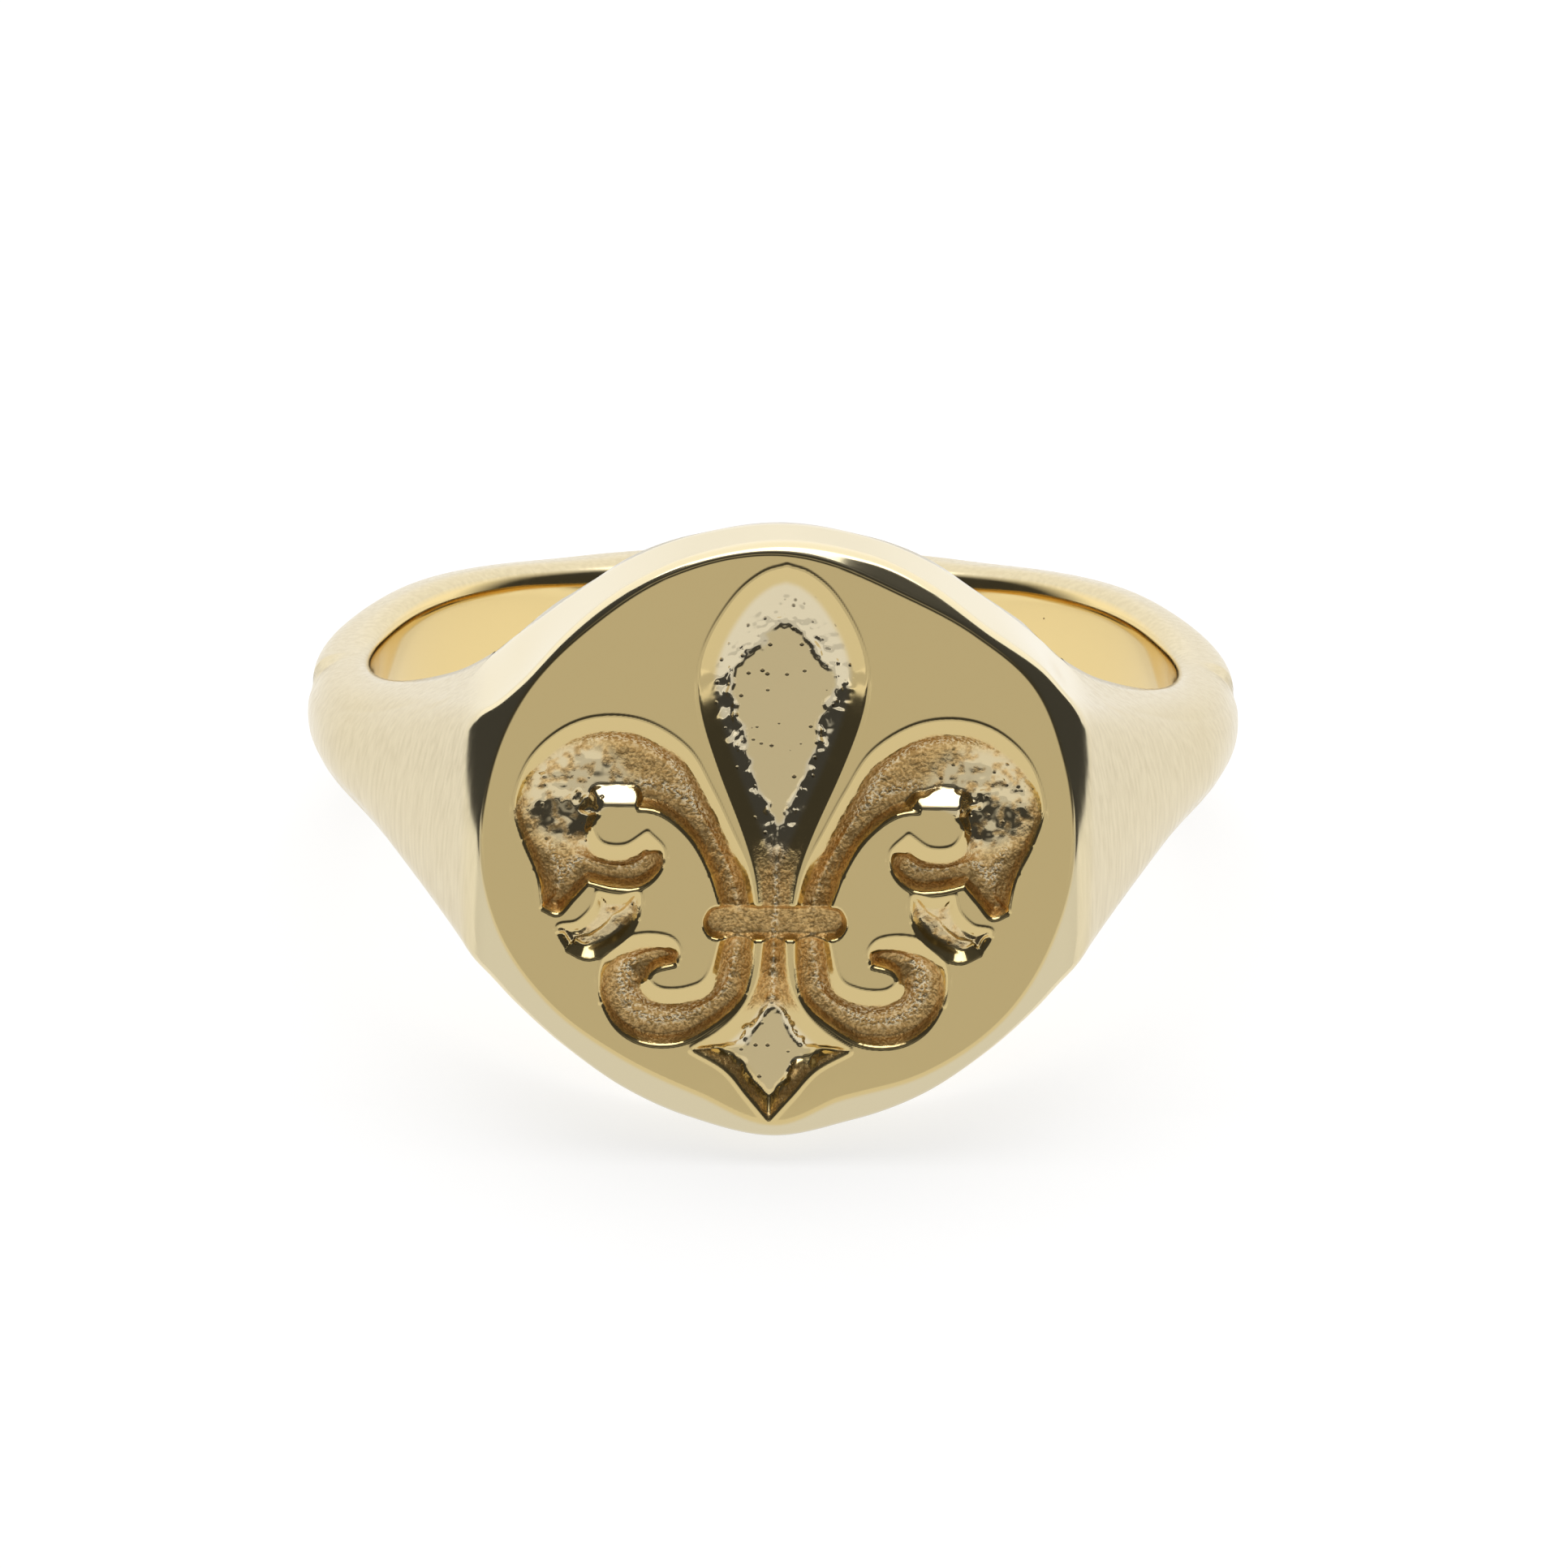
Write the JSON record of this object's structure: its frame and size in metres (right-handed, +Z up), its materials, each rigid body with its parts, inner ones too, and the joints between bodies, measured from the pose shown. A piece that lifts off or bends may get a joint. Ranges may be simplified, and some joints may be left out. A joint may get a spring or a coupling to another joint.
{
  "type": "signet ring",
  "caption": "Gold signet ring with a flat cushion-oval table, a recessed fleur-de-lis seal and shoulders that taper into a D-section band.",
  "frame": {"origin": "centre of the rectangle the ring covers on the table it lies on", "axes": "+X across the face to the ring's right as seen by a viewer who looks along +Y at the face, +Y from the face towards the back of the band, +Z up; the ring lies on the lower edge of its head and the back of its band, so its finger axis leans 16.1 degrees towards +Y"},
  "size_m": [0.022, 0.024, 0.0142],
  "materials": {
    "head_gold": "pale yellow gold, polished table, as-cast grain in the recesses of the seal",
    "shank_gold": "pale yellow gold, finely satin on the shoulders",
    "solder_gold": "gold solder, filed flush and polished with the ring"
  },
  "bodies": {
    "root": {"signet_head": "head_gold", "shank": "shank_gold", "solder_joint_left": "solder_gold", "solder_joint_right": "solder_gold"}
  },
  "joints": []
}
